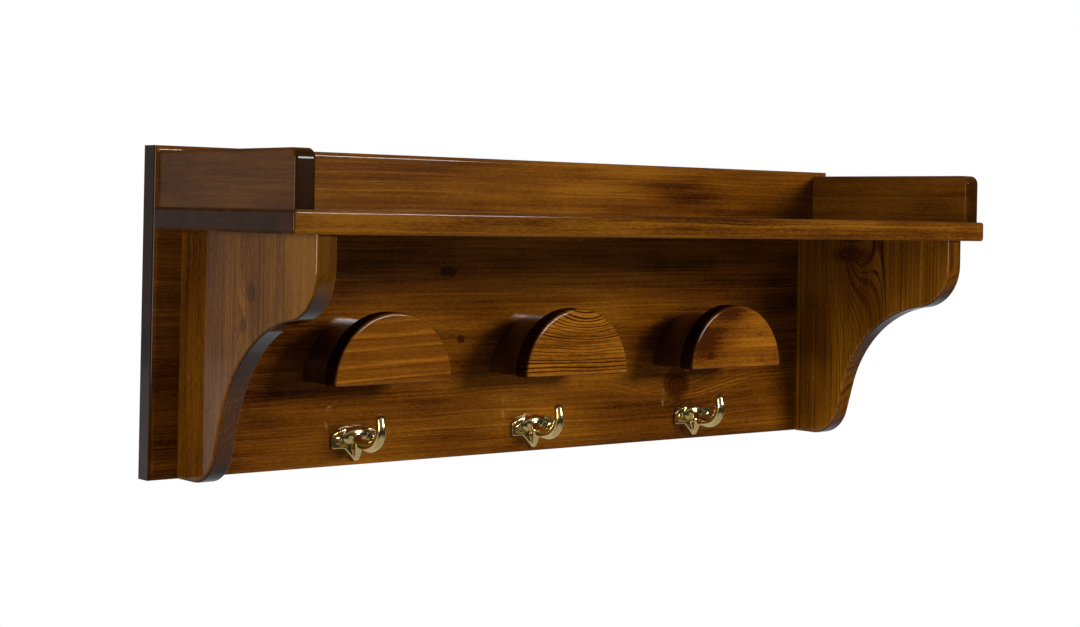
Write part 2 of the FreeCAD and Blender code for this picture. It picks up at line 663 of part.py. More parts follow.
board_start = ("-Sizes.board_width / 2", BOARD_FACE, BOARD_FOOT)
back_blank = board_blank(
    "back_blank", "Sizes.board_width", "Sizes.stock", "Sizes.board_height", board_start,
    "Sizes.board_round", on_front)
nodes.append(drilled("back_board", back_blank, [
    shelf_holes, bracket_holes, rail_back_holes, drum_holes, hook_holes, hanger_recesses, hanger_holes]))

shelf_start = ("-Sizes.board_width / 2", SHELF_FRONT, SHELF_FOOT)
shelf_blank = board_blank(
    "shelf_blank", "Sizes.board_width", "Sizes.shelf_depth", "Sizes.stock", shelf_start,
    "Sizes.arris", reaches_front)
nodes.append(drilled("shelf_board", shelf_blank, [shelf_holes, top_holes, rail_holes]))

for side, sign in SIDES.items():
    rail_start = (f"{sign} * {RAIL_MIDDLE} - Sizes.stock / 2", BOARD_FACE, SHELF_TOP)
    rail = rail_blank(f"{side}_rail_blank", rail_start)
    nodes.append(drilled(f"{side}_rail", rail, [rail_back_holes, rail_holes]))
    bracket_start = (f"{sign} * {BRACKET_MIDDLE} - Sizes.stock / 2", BOARD_FACE, BOARD_FOOT)
    bracket = bracket_blank(f"{side}_bracket_blank", bracket_start)
    nodes.append(drilled(f"{side}_bracket", bracket, [bracket_holes, top_holes]))

# Bridle holders and hooks

for third, step in THIRDS.items():
    middle = f"{step} * Sizes.holder_pitch"
    drum, solid = half_round(
        f"{third}_drum_blank", "drum_radius", "Sizes.drum_length", (middle, BOARD_FACE, HOLDER_FOOT))
    nodes.append(drilled(f"{third}_drum", drum, [drum_holes, dowel_holes]))
    disc, solid = half_round(
        f"{third}_disc_blank", "disc_radius", "Sizes.stock", (middle, DISC_BACK, HOLDER_FOOT))
    rounded(disc, solid, f"{third}_disc_round", "Sizes.arris", lambda edge: True)
    nodes.append(drilled(f"{third}_disc", disc, [dowel_holes]))
    hook = hook_blank(f"{third}_hook_blank", (f"Sizes.hook_{third}", BOARD_FACE, HOOK_LINE))
    nodes.append(drilled(f"{third}_hook", hook, [hook_holes]))

# Check and write

doc.recompute()
failed = [thing.Name for thing in doc.Objects if "Invalid" in thing.State or "Error" in thing.State]
if failed:
    raise RuntimeError(f"features that failed: {failed}")
for node in nodes:
    if node.Shape.isNull() or not node.Shape.isValid():
        raise RuntimeError(f"{node.Label} has no valid shape")
    if not node.Shape.Solids:
        raise RuntimeError(f"{node.Label} has no solid")

os.makedirs("parts", exist_ok=True)
for node in nodes:
    node.Shape.exportStep(f"parts/{node.Label}.step")
    box = node.Shape.BoundBox
    print(f"{node.Label}: {len(node.Shape.Solids)} solids, {node.Shape.Volume / 1000:.1f} cm3, "
          f"x {box.XMin:.1f} to {box.XMax:.1f}, y {box.YMin:.1f} to {box.YMax:.1f}, z {box.ZMin:.1f} to {box.ZMax:.1f}")
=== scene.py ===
# %% [markdown]
# # A bridle rack with a shelf
#
# A rack for a tack room: a stained pine board with a shelf, two low rails that keep things on it,
# two shaped brackets, three half-round holders for bridles and three cast brass hooks.
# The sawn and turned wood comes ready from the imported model. This lesson gives it its finish,
# casts the hooks and their screws, and sets up the light and the camera.

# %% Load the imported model
import math

import bmesh
import bpy
from mathutils import Matrix, Vector


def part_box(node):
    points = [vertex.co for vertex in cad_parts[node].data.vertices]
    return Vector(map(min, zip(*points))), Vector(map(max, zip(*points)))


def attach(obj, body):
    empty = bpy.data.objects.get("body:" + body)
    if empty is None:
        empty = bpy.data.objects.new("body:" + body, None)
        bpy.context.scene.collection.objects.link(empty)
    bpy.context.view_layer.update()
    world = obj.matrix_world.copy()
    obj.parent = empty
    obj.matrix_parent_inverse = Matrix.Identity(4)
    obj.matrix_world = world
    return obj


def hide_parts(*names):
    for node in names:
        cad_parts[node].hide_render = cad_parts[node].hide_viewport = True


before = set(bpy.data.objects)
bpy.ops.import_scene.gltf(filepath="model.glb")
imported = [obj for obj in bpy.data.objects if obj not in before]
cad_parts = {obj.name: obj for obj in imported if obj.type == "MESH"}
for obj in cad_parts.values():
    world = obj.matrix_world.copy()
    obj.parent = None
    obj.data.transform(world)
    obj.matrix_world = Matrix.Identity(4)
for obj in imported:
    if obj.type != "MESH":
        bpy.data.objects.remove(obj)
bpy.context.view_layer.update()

# %% [markdown]
# ## The camera
#
# The picture was taken from the left, level with the shelf, with a longish lens.
# A camera could be turned with angles, but here two directions are known from the picture:
# where it looks, and which way is right. The third follows from these two.
# The picture was cropped afterwards, so a small shift lowers the frame and keeps the uprights straight.

# %% Camera
PICTURE_WIDTH = 1080
PICTURE_HEIGHT = 627
LENS_PIXELS = 1979.1
LENS_AXIS_X = 540.6
LENS_AXIS_Y = 205.9
SENSOR_WIDTH = 36
CAMERA_PLACE = (-1.34785, -1.65075, 0.09698)
looking = Vector((0.63870, 0.76944, 0.00466)).normalized()
rightward = Vector((0.76926, -0.63866, 0.01901)).normalized()
upward = rightward.cross(looking)
scene = bpy.context.scene
scene.view_settings.view_transform = "Standard"

photo_lens = bpy.data.cameras.new("photo_lens")
photo_lens.sensor_width = SENSOR_WIDTH
photo_lens.lens = SENSOR_WIDTH * LENS_PIXELS / PICTURE_WIDTH
photo_lens.shift_x = (PICTURE_WIDTH / 2 - LENS_AXIS_X) / PICTURE_WIDTH
photo_lens.shift_y = (LENS_AXIS_Y - PICTURE_HEIGHT / 2) / PICTURE_WIDTH
camera = bpy.data.objects.new("photo_camera", photo_lens)
camera_turn = Matrix((rightward, upward, -looking)).transposed().to_4x4()
camera.matrix_world = Matrix.Translation(CAMERA_PLACE) @ camera_turn
scene.collection.objects.link(camera)
scene.camera = camera
print("lens", round(photo_lens.lens, 2), "mm, shift", round(photo_lens.shift_y, 4))

# %% [markdown]
# ## The lamps
#
# The rack floats in front of white paper. A large soft lamp stands in front, a little to the right and
# above: the shelf shades the upper board, and each holder throws a soft shadow to its left. A weaker
# one far to the left lights the outer face of the bracket. Lamps could be turned with angles. Here each
# is aimed along a direction, so that it is given by where it stands and how large it is.

# %% Lamps
LAMP_AIM = Vector((0, -0.1, 0))


def soft_lamp(name, turn, rise, away, width, height, watts):
    """A rectangular lamp, turned to the right and raised by these degrees, aimed at the rack."""
    lamp = bpy.data.lights.new(name, "AREA")
    lamp.shape = "RECTANGLE"
    lamp.size = width
    lamp.size_y = height
    lamp.energy = watts
    turn, rise = math.radians(turn), math.radians(rise)
    level = math.cos(rise)
    direction = Vector((math.sin(turn) * level, -math.cos(turn) * level, math.sin(rise)))
    aimed = direction.to_track_quat("Z", "Y").to_matrix().to_4x4()
    stand = bpy.data.objects.new(name, lamp)
    stand.matrix_world = Matrix.Translation(LAMP_AIM + direction * away) @ aimed
    scene.collection.objects.link(stand)
    print(name, "at", [round(x, 2) for x in stand.location])


soft_lamp("key_lamp", turn=27, rise=13, away=4.5, width=1.65, height=0.7, watts=150)
soft_lamp("side_lamp", turn=-84, rise=3, away=3.0, width=1.0, height=0.9, watts=35)

# %% [markdown]
# ## The room
#
# The paper behind the rack is white, and the room in front of it is dim. That matters on varnish and
# brass: the ends of the boards mirror the paper, and the front faces mirror the dim room. A picture
# of a studio could be wrapped round the scene, but a few numbers do the same: the world is white to
# the camera, an even grey to matt surfaces, and to mirrors its brightness goes by direction, from
# behind on the left round to the dim corner in front on the right. Short functions wire the nodes,
# here and in every finish after this.

# %% Node helpers
WHITE = (1, 1, 1, 1)


def feed(tree, socket, value):
    """Link another node's output to an input, or set the input to a plain value."""
    if isinstance(value, bpy.types.NodeSocket):
        tree.links.new(value, socket)
    elif value is not None:
        socket.default_value = value


def add_node(tree, kind, **inputs):
    """One shader node of this kind, with its named inputs set or linked."""
    made = tree.nodes.new(kind)
    for label, value in inputs.items():
        feed(tree, made.inputs[label], value)
    return made


def add_maths(tree, operation, first, second=None, third=None):
    """What a Math node puts out."""
    made = tree.nodes.new("ShaderNodeMath")
    made.operation = operation
    for socket, value in zip(made.inputs, (first, second, third)):
        feed(tree, socket, value)
    return made.outputs[0]


def vector_maths(tree, operation, first, second=None):
    """What a Vector Math node puts out: a number for a length or a dot product, otherwise a vector."""
    made = tree.nodes.new("ShaderNodeVectorMath")
    made.operation = operation
    for socket, value in zip(made.inputs, (first, second)):
        feed(tree, socket, value)
    return made.outputs["Value" if operation in ("LENGTH", "DOT_PRODUCT") else "Vector"]


# %% Ramps and masks


def parts_of(tree, vector):
    """The parts of a vector, by the letters X, Y and Z."""
    return add_node(tree, "ShaderNodeSeparateXYZ", Vector=vector).outputs


def soft_step(tree, value, start, end, low=0.0, high=1.0):
    """A smooth ramp of a value, from low at the start to high at the end."""
    made = add_node(tree, "ShaderNodeMapRange", **{
        "Value": value, "From Min": start, "From Max": end, "To Min": low, "To Max": high})
    made.interpolation_type = "SMOOTHSTEP"
    return made.outputs["Result"]


def colour_ramp(tree, value, stops):
    """A colour for a value. Each stop is a position and a colour, in rising order."""
    made = add_node(tree, "ShaderNodeValToRGB", Fac=value)
    elements = made.color_ramp.elements
    for _ in stops[2:]:
        elements.new(0.5)
    for element, (position, colour) in zip(elements, stops):
        element.position = position
        element.color = colour
    return made.outputs["Color"]


def ray_kinds(tree):
    """Two masks: what the camera itself sees, and what is seen in a mirror."""
    ray = add_node(tree, "ShaderNodeLightPath").outputs
    in_mirror = add_maths(tree, "MAXIMUM", ray["Is Glossy Ray"], ray["Is Transmission Ray"])
    return ray["Is Camera Ray"], in_mirror


# %% World
ROOM_FILL = 0.14
# A ramp over how far up a mirror looks: where the ceiling starts and is full, and how bright it is there.
CEILING = (0.2, 0.5, 0.0, 0.3)
DIM_CORNER = Vector((0.63, -0.776, 0.03)).normalized()
# How bright the walls are, from away from that corner at 0 to straight at it at 1.
ROOM_LEVELS = ((0.0, 0.22), (0.45, 0.20), (0.78, 0.13), (0.90, 0.02))

studio = bpy.data.worlds.new("studio")
studio.use_nodes = True
scene.world = studio
air = studio.node_tree
air.nodes.clear()
towards = add_node(air, "ShaderNodeTexCoord").outputs["Generated"]
to_corner = vector_maths(air, "DOT_PRODUCT", towards, DIM_CORNER)
walls = colour_ramp(air, add_maths(air, "MULTIPLY_ADD", to_corner, 0.5, 0.5),
                    [(position, (level, level, level, 1)) for position, level in ROOM_LEVELS])
ceiling = soft_step(air, parts_of(air, towards)["Z"], *CEILING)
to_camera, in_mirror = ray_kinds(air)
mirrored = add_maths(air, "MULTIPLY", add_maths(air, "MAXIMUM", walls, ceiling), in_mirror)
fill = add_maths(air, "MULTIPLY_ADD", in_mirror, -ROOM_FILL, ROOM_FILL)
brightness = add_maths(air, "MAXIMUM", to_camera, add_maths(air, "ADD", mirrored, fill))
sky = add_node(air, "ShaderNodeBackground", Color=WHITE, Strength=brightness)
add_node(air, "ShaderNodeOutputWorld", Surface=sky.outputs[0])
print("world", studio.name, "with", len(air.nodes), "nodes")

# %% [markdown]
# ## The floor
#
# Far below the rack, as under one on a wall, the paper lies as a floor. It goes so far all round that
# no view shows its edge. A plain white sheet would light the rack too much from below, so this one
# goes by who looks. The camera sees white paper, a little shaded near the middle. A mirror sees it
# pale behind the rack and right beneath it, and dark elsewhere. Matt wood gets only what the lamps
# throw back from it.

# %% Floor
FLOOR_LEVEL = -1.3
FLOOR_HALF = 14

ground = bmesh.new()
bmesh.ops.create_grid(ground, x_segments=1, y_segments=1, size=FLOOR_HALF,
                      matrix=Matrix.Translation((0, 0, FLOOR_LEVEL)))
floor_mesh = bpy.data.meshes.new("paper_floor")
ground.to_mesh(floor_mesh)
ground.free()
floor = bpy.data.objects.new("paper_floor", floor_mesh)
scene.collection.objects.link(floor)
print("floor", -FLOOR_LEVEL, "m below the middle of the rack")

# %% Floor paint
PAPER_GREY = (0.6, 0.6, 0.6, 1)
# Where each ramp starts and ends, in metres, and how white the paper is there.
CAMERA_WHITE = (1.5, 4.5, 0.75, 1.0)
BEHIND_WHITE = (-0.4, 0.3, 0.0, 0.45)
BENEATH_WHITE = (1.7, 3.2, 0.36, 0.02)


def blank_material(name):
    """A material whose node tree is still empty, and that tree."""
    made = bpy.data.materials.new(name)
    made.use_nodes = True
    made.node_tree.nodes.clear()
    return made, made.node_tree


floor_paint, paint = blank_material("floor_paint")
spot = add_node(paint, "ShaderNodeTexCoord").outputs["Object"]
from_middle = vector_maths(paint, "LENGTH", spot)
behind = soft_step(paint, parts_of(paint, spot)["Y"], *BEHIND_WHITE)
beneath = soft_step(paint, from_middle, *BENEATH_WHITE)
to_camera, in_mirror = ray_kinds(paint)
strength = add_maths(paint, "MAXIMUM", to_camera, add_maths(paint, "MAXIMUM", behind, beneath))
glow = add_node(paint, "ShaderNodeEmission", Color=WHITE, Strength=strength)
matt = add_node(paint, "ShaderNodeBsdfDiffuse", Color=PAPER_GREY)
white_share = add_maths(paint, "MULTIPLY", to_camera, soft_step(paint, from_middle, *CAMERA_WHITE))
blend = add_node(paint, "ShaderNodeMixShader", Fac=add_maths(paint, "MAXIMUM", white_share, in_mirror))
paint.links.new(matt.outputs[0], blend.inputs[1])
paint.links.new(glow.outputs[0], blend.inputs[2])
add_node(paint, "ShaderNodeOutputMaterial", Surface=blend.outputs[0])
floor_mesh.materials.append(floor_paint)
print(floor_paint.name, "with", len(paint.nodes), "nodes")

# %% [markdown]
# ## Growth rings
#
# Every wooden piece was sawn from a tree trunk: long thin cones of pale and dark wood round one axis,
# the pith. Lines could be painted on each face, but then the ends would not belong to the sides.
# Instead the rings are worked out in space: distance from the pith, pushed about by slow noise,
# cut into steps one ring wide. A board's faces, edges and ends then show the same tree.

# %% Groups and noise


def new_group(name, inputs, outputs):
    """A node group with these inputs and their defaults. Returns it, what comes in and what goes out."""
    group = bpy.data.node_groups.new(name, "ShaderNodeTree")
    for label, value in inputs.items():
        kind = "NodeSocketVector" if isinstance(value, tuple) else "NodeSocketFloat"
        group.interface.new_socket(label, in_out="INPUT", socket_type=kind).default_value = value
    for label in outputs:
        group.interface.new_socket(label, in_out="OUTPUT", socket_type="NodeSocketFloat")
    return group, group.nodes.new("NodeGroupInput").outputs, group.nodes.new("NodeGroupOutput").inputs


def noise(tree, place, lumps, detail=2.0, roughness=0.5):
    """Smooth noise from 0 to 1, with this many lumps to a unit of the place."""
    stretched = vector_maths(tree, "MULTIPLY", place, lumps)
    made = add_node(tree, "ShaderNodeTexNoise", Vector=stretched, Scale=1.0, Detail=detail,
                    Roughness=roughness)
    return made.outputs["Fac"]


# %% Ring group
# Lumps of noise to a metre along, across and through the grain.
WANDER_LUMPS = (3, 16, 16)
FADE_LUMPS = (5, 26, 26)
COARSE_FIBRES = (6, 330, 330)
FINE_FIBRES = (140, 850, 850)
BAND_LUMPS = (6, 52, 52)
CLOUD_LUMPS = (5, 13, 13)
RAGGED = {"detail": 3.0, "roughness": 0.55}
LUMPS_TO_A_YEAR = 0.6
# Ramps over one year: the late wood begins, the late wood ends, and a thin rim of the other shade.
LATE_WOOD = (0.55, 0.84)
YEAR_END = (0.88, 1.0, 1.0, 0.0)
THIN_RIM = (0.0, 0.1, -0.5, 0.0)
# A ramp over noise: where it is low, the lines are faint.
FAINT_LINES = (0.36, 0.62, 1.0, 0.0)

rings, given, result = new_group(
    "growth_rings",
    {"Place": (0, 0, 0), "Squash": (0, 1, 1), "Ring Width": 0.004, "Wander": 0.01, "Uneven": 3.0,
     "Fade": 0.8, "Push": 0.0},
    ("Line", "Fibre", "Band", "Cloud"))
place = given["Place"]
pith_distance = vector_maths(rings, "LENGTH", vector_maths(rings, "MULTIPLY", place, given["Squash"]))
slow = add_maths(rings, "SUBTRACT", noise(rings, place, WANDER_LUMPS, **RAGGED), 0.5)
bent = add_maths(rings, "MULTIPLY_ADD", slow, given["Wander"], pith_distance)
years = add_maths(rings, "DIVIDE", add_maths(rings, "ADD", bent, given["Push"]), given["Ring Width"])
good_years = add_node(rings, "ShaderNodeTexNoise", Scale=LUMPS_TO_A_YEAR, Detail=2.0)
good_years.noise_dimensions = "1D"
rings.links.new(years, good_years.inputs["W"])
years = add_maths(rings, "MULTIPLY_ADD", good_years.outputs["Fac"], given["Uneven"], years)
season = add_maths(rings, "FRACT", years)
late = add_maths(rings, "MULTIPLY_ADD", soft_step(rings, season, *LATE_WOOD),
                 soft_step(rings, season, *YEAR_END), soft_step(rings, season, *THIN_RIM))
faint = soft_step(rings, noise(rings, place, FADE_LUMPS), *FAINT_LINES)
clear = add_maths(rings, "SUBTRACT", 1.0, add_maths(rings, "MULTIPLY", faint, given["Fade"]))
fibres = add_maths(rings, "ADD", noise(rings, place, COARSE_FIBRES, **RAGGED),
                   noise(rings, place, FINE_FIBRES))
feed(rings, result["Line"], add_maths(rings, "MULTIPLY", late, clear))
feed(rings, result["Fibre"], add_maths(rings, "MULTIPLY", fibres, 0.5))
feed(rings, result["Band"], noise(rings, place, BAND_LUMPS))
feed(rings, result["Cloud"], noise(rings, place, CLOUD_LUMPS, **RAGGED))
print("group", rings.name, "with", len(rings.nodes), "nodes")

# %% [markdown]
# ## Knots
#
# A knot is where a branch left the trunk. It is a dark, ragged disc with its own rings, and the lines
# of the board swell round it. It could be a drawing laid on the face, but then the lines would run
# straight past it. One group gives three things instead: a push that is added to the distance from
# the pith, the core of the knot, and a wide soft halo. The halo also serves for patches that make the
# wood paler or darker: cloudy patches in the stain, and painted shadows.

# %% Knot group
EDGE_LUMPS = (0.9, 1.3, 0)
EDGE_DEPTH = 0.8
EYE_RINGS = 15
EYE_CONTRAST = 0.25
CORE_EDGE = (0.6, 1.2, 1.0, 0.0)
HALO_FALL = 0.28

knot, given, result = new_group(
    "knot",
    {"Place": (0, 0, 0), "Centre": (0, 0, 0), "Size": 0.01, "Flatness": 0.85, "Spread": 0.45,
     "Swell": 0.02},
    ("Push", "Core", "Halo"))
offset = vector_maths(knot, "SUBTRACT", given["Place"], given["Centre"])
in_sizes = vector_maths(knot, "DIVIDE", offset, given["Size"])


def knot_distance(shorten):
    """Distance from the knot's middle, in knot sizes, with its part along the grain multiplied."""
    factors = add_node(knot, "ShaderNodeCombineXYZ", X=shorten, Y=1.0).outputs[0]
    return vector_maths(knot, "LENGTH", vector_maths(knot, "MULTIPLY", in_sizes, factors))


face_in_sizes = vector_maths(knot, "DIVIDE", given["Place"], given["Size"])
rough_edge = noise(knot, face_in_sizes, EDGE_LUMPS, detail=3.0)
ragged = add_maths(knot, "ADD", knot_distance(given["Flatness"]),
                   add_maths(knot, "MULTIPLY_ADD", rough_edge, EDGE_DEPTH, -EDGE_DEPTH / 2))
waves = add_maths(knot, "SINE", add_maths(knot, "MULTIPLY", ragged, EYE_RINGS))
eye_rings = add_maths(knot, "MULTIPLY_ADD", waves, EYE_CONTRAST, 1 - EYE_CONTRAST)
wide = add_maths(knot, "POWER", knot_distance(given["Spread"]), 2.0)
bell = add_maths(knot, "EXPONENT", add_maths(knot, "MULTIPLY", wide, -HALO_FALL))
feed(knot, result["Push"], add_maths(knot, "MULTIPLY", bell, given["Swell"]))
feed(knot, result["Core"], add_maths(knot, "MULTIPLY", soft_step(knot, ragged, *CORE_EDGE), eye_rings))
feed(knot, result["Halo"], bell)
print("group", knot.name, "with", len(knot.nodes), "nodes")

# %% [markdown]
# ## The shade of the wood
#
# A planed face shows ring lines, fibres, slow bands, clouds where the stain took unevenly, and knots.
# Each could be a layer of colour of its own. Here they are first added up to one number from dark
# to pale, so that the stain is chosen once for all of them. One function does this for any piece:
# it is told where the pith lies, how wide the rings are, how strong each part is and where the
# knots and the patches are.

# %% Wood shade
MIDDLE_SHADE = 0.5
LINE_BALANCE = 0.2
SWIRL = 0.6
KNOT_HALO = 0.08


def use_group(tree, group, **inputs):
    """What a group puts out in this tree, with its named inputs set or linked."""
    made = tree.nodes.new("ShaderNodeGroup")
    made.node_tree = group
    for label, value in inputs.items():
        feed(tree, made.inputs[label], value)
    return made.outputs


def wood_shade(tree, place, pith, ring_width, wander, lines=0.25, fibre=1.4, bands=0.8, clouds=1.0,
               squash=(0, 1, 1), uneven=3.0, fade=0.8, knot_dark=1.1, knots=(), patches=()):
    """How pale the wood is, from 0 to 1, and its fibres.

    place and pith go along, across and through the grain. A knot is its place along and across, its
    size, how far it swells the rings, and a factor on its distance along the grain: below 1 it is
    long, above 1 short. A patch is its place along and across, its size, how much paler it is, and
    a factor like the knot's.
    """
    eyes = []
    push = 0.0
    for along, across, size, swell, flatness in knots:
        eyes.append(use_group(tree, knot, Place=place, Centre=(along, across, 0), Size=size, Swell=swell,
                              Flatness=flatness))
        push = add_maths(tree, "ADD", eyes[-1]["Push"], push)
    from_pith = add_node(tree, "ShaderNodeMapping", Vector=place, Location=[-x for x in pith])
    trunk = use_group(tree, rings, Place=from_pith.outputs["Vector"], Squash=squash, Wander=wander,
                      Uneven=uneven, Fade=fade, Push=push, **{"Ring Width": ring_width})
    shade = add_maths(tree, "MULTIPLY_ADD", trunk["Line"], lines, MIDDLE_SHADE - LINE_BALANCE * lines)
    for label, amount in (("Fibre", fibre), ("Band", bands), ("Cloud", clouds)):
        varied = add_maths(tree, "SUBTRACT", trunk[label], 0.5)
        shade = add_maths(tree, "MULTIPLY_ADD", varied, amount, shade)
    for eye in eyes:
        swirl = add_maths(tree, "MULTIPLY", trunk["Line"], eye["Halo"])
        shade = add_maths(tree, "MULTIPLY_ADD", swirl, lines * SWIRL, shade)
        shade = add_maths(tree, "MULTIPLY_ADD", eye["Halo"], -KNOT_HALO * knot_dark, shade)
        kept = add_maths(tree, "MULTIPLY_ADD", eye["Core"], -knot_dark, 1.0)
        shade = add_maths(tree, "MULTIPLY", shade, kept)
    # Patches make the wood paler or darker: some are cloudy stain, two on the back board painted shadow.
    for along, across, size, amount, spread in patches:
        patch = use_group(tree, knot, Place=place, Centre=(along, across, 0), Size=size, Spread=spread)
        shade = add_maths(tree, "MULTIPLY_ADD", patch["Halo"], amount, shade)
    return shade, trunk["Fibre"]


print("plain wood has shade", MIDDLE_SHADE)

# %% [markdown]
# ## Stain and varnish
#
# The pine is stained dark orange brown under thick, clear gloss varnish. The stain sinks deepest into
# sawn ends and edges, so those go darkest. On the rounded arrises the wood is a little paler, partly
# rubbed and partly a painted highlight, and the varnish is thinner. The rims of the half discs soaked
# all of it up. Such wear could be painted by hand, but the way a surface faces already tells ends,
# edges and arrises apart, on every piece at once. The varnish is the coat of the Principled shader,
# over a softer base.

# %% Stain
PALE = (0.340, 0.124, 0.0075)
BODY = (0.172, 0.0525, 0.0030)
DARK = (0.045, 0.0095, 0.0006)
GREEN_KEPT, BLUE_KEPT = 0.88, 0.8


def tinted(colour, tone, yellow):
    """A colour made lighter or darker by a tone, and more or less yellow."""
    return (colour[0] * tone, colour[1] * tone * yellow, colour[2] * tone, 1.0)


def reddened(tone):
    """What a stained colour is multiplied by where it goes darker: green and blue go first."""
    return (tone, tone * GREEN_KEPT, tone * BLUE_KEPT, 1.0)


def mixed(tree, first, second, factor, blend="MIX"):
    """Two colours, each a plain one or another node's output, mixed by a factor."""
    made = tree.nodes.new("ShaderNodeMix")
    made.data_type = "RGBA"
    made.blend_type = blend
    for label, value in (("Factor", factor), ("A", first), ("B", second)):
        feed(tree, made.inputs[label], value)
    return made.outputs["Result"]


print("stain from", DARK, "to", PALE)

# %% Stained pine
# Ramps over how squarely a surface faces one way: 1 is square on, 0 is edge on.
SAWN_END = (0.25, 0.85)
SAWN_EDGE = (0.4, 0.9, 1.0, 0.0)
OFF_SQUARE = (0.994, 0.9995, 1.0, 0.0)
OFF_RIM = (0.02, 0.2)
WALLWARD = (0.05, 0.2)
# On an arris: how much pale colour is laid on, partly rubbed wood and partly a painted highlight,
# and how much of the varnish is gone.
ARRIS_WEAR_AND_SHEEN = 0.04
THIN_VARNISH, THIN_ON_CURVES = 0.8, 0.5
VARNISH_ROUGHNESS = 0.09
VARNISH_IOR = 1.48
WOOD_ROUGHNESS, FIBRE_ROUGHNESS = 0.38, 0.2
RELIEF, RELIEF_HEIGHT = 0.05, 0.0004


def arris_mask(tree, along, across, through, curved):
    """Where an arris is rounded over. A curved piece has its arrises round its two flat faces only."""
    if curved:
        return add_maths(tree, "MULTIPLY", soft_step(tree, through, *OFF_RIM),
                         soft_step(tree, through, *OFF_SQUARE))
    squarest = add_maths(tree, "MAXIMUM", add_maths(tree, "MAXIMUM", along, across), through)
    return soft_step(tree, squarest, *OFF_SQUARE)


def stained_pine(name, grain, tone=1.0, yellow=1.0, end_tone=0.3, edge_tone=1.0, gloss=VARNISH_ROUGHNESS,
                 curved=False, edge_varnish=1.0, **growth):
    """Varnished pine. grain names the axes along, across and through it. growth is for wood_shade."""
    finish, tree = blank_material(name)
    surface = add_node(tree, "ShaderNodeTexCoord").outputs
    parts = parts_of(tree, surface["Object"])
    in_order = {axis: parts[letter] for axis, letter in zip("XYZ", grain)}
    place = add_node(tree, "ShaderNodeCombineXYZ", **in_order).outputs[0]
    shade, fibres = wood_shade(tree, place, **growth)
    dark, body, pale = (tinted(colour, tone, yellow) for colour in (DARK, BODY, PALE))

    normal = parts_of(tree, surface["Normal"])
    along, across, through = (add_maths(tree, "ABSOLUTE", normal[letter]) for letter in grain)
    sawn_end = soft_step(tree, along, *SAWN_END)
    sawn_edge = soft_step(tree, through, *SAWN_EDGE)
    arris = arris_mask(tree, along, across, through, curved)
    colour = colour_ramp(tree, shade, [(0.0, dark), (0.5, body), (1.0, pale)])
    colour = mixed(tree, colour, reddened(end_tone), sawn_end, "MULTIPLY")
    if edge_tone != 1.0:
        colour = mixed(tree, colour, reddened(edge_tone), sawn_edge, "MULTIPLY")
    # The arrises go a little paler: partly rubbed wood, partly a painted highlight.
    colour = mixed(tree, colour, pale, add_maths(tree, "MULTIPLY", arris, ARRIS_WEAR_AND_SHEEN))

    worn = THIN_ON_CURVES if curved else THIN_VARNISH
    varnish = add_maths(tree, "MULTIPLY_ADD", arris, -worn, 1.0)
    thirsty = add_maths(tree, "MAXIMUM", sawn_edge, soft_step(tree, normal[grain[2]], *WALLWARD))
    soaked = add_maths(tree, "MULTIPLY_ADD", thirsty, edge_varnish - 1.0, 1.0)
    relief = add_node(tree, "ShaderNodeBump", Strength=RELIEF, Distance=RELIEF_HEIGHT, Height=fibres)
    shader = add_node(tree, "ShaderNodeBsdfPrincipled", **{
        "Base Color": colour,
        "Roughness": add_maths(tree, "MULTIPLY_ADD", fibres, FIBRE_ROUGHNESS, WOOD_ROUGHNESS),
        "Normal": relief.outputs["Normal"],
        "Specular IOR Level": 0.0,
        "Coat Weight": add_maths(tree, "MULTIPLY", varnish, soaked),
        "Coat Roughness": gloss,
        "Coat IOR": VARNISH_IOR})
    add_node(tree, "ShaderNodeOutputMaterial", Surface=shader.outputs[0])
    return finish


def dress(node, finish):
    """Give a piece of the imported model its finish."""
    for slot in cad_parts[node].material_slots:
        slot.material = finish
    print(node, "is finished in", finish.name)


# %% [markdown]
# ## The boards
#
# The back board and the shelf have their grain from end to end, the rails from front to back and the
# brackets upright. One finish could serve them all, but boards come from different trees. So each has
# its own pith, far outside it, and the rings cross its face as long, nearly straight lines. Knots are
# where the real boards have them. Patches make a board paler or darker in places: some follow its
# cloudy stain, and on the back board two dark ones, to the left of the left and the middle holder,
# are a painted shadow.

# %% Boards
dress("back_board", stained_pine(
    "board_pine", "XZY", pith=(0.05, -0.30, 0.10), ring_width=0.0046, wander=0.016, bands=0.75, clouds=1.1,
    end_tone=0.13, knot_dark=1.15,
    knots=[(0.2106, -0.0925, 0.018, 0.018, 0.9), (-0.0988, -0.0329, 0.0042, 0.006, 0.85),
           (-0.1167, 0.0371, 0.006, 0.012, 0.5)],
    # Two of these patches are painted shadow: at -0.088 left of the middle holder, at -0.345 left of the
    # left holder.
    patches=[(0.04, 0.125, 0.04, 0.3, 0.45), (0.19, 0.132, 0.0035, -0.34, 0.13),
             (0.225, 0.119, 0.0045, -0.34, 0.17), (0.39, -0.09, 0.05, -0.2, 0.45),
             (-0.44, -0.05, 0.05, -0.35, 0.45), (0.03, -0.1, 0.02, 0.2, 0.45),
             (-0.088, -0.005, 0.022, -0.3, 0.6), (0.31, 0.05, 0.06, -0.13, 0.45),
             (-0.345, -0.015, 0.03, -0.32, 0.7)]))
dress("shelf_board", stained_pine(
    "shelf_pine", "XYZ", pith=(0.2, -0.10, -0.16), ring_width=0.0045, wander=0.014, tone=0.76, lines=0.4,
    fibre=2.0, end_tone=0.23,
    patches=[(-0.40, -0.25, 0.05, 0.16, 0.45), (0.40, -0.25, 0.06, 0.16, 0.45),
             (0.05, -0.25, 0.05, -0.12, 0.45)]))
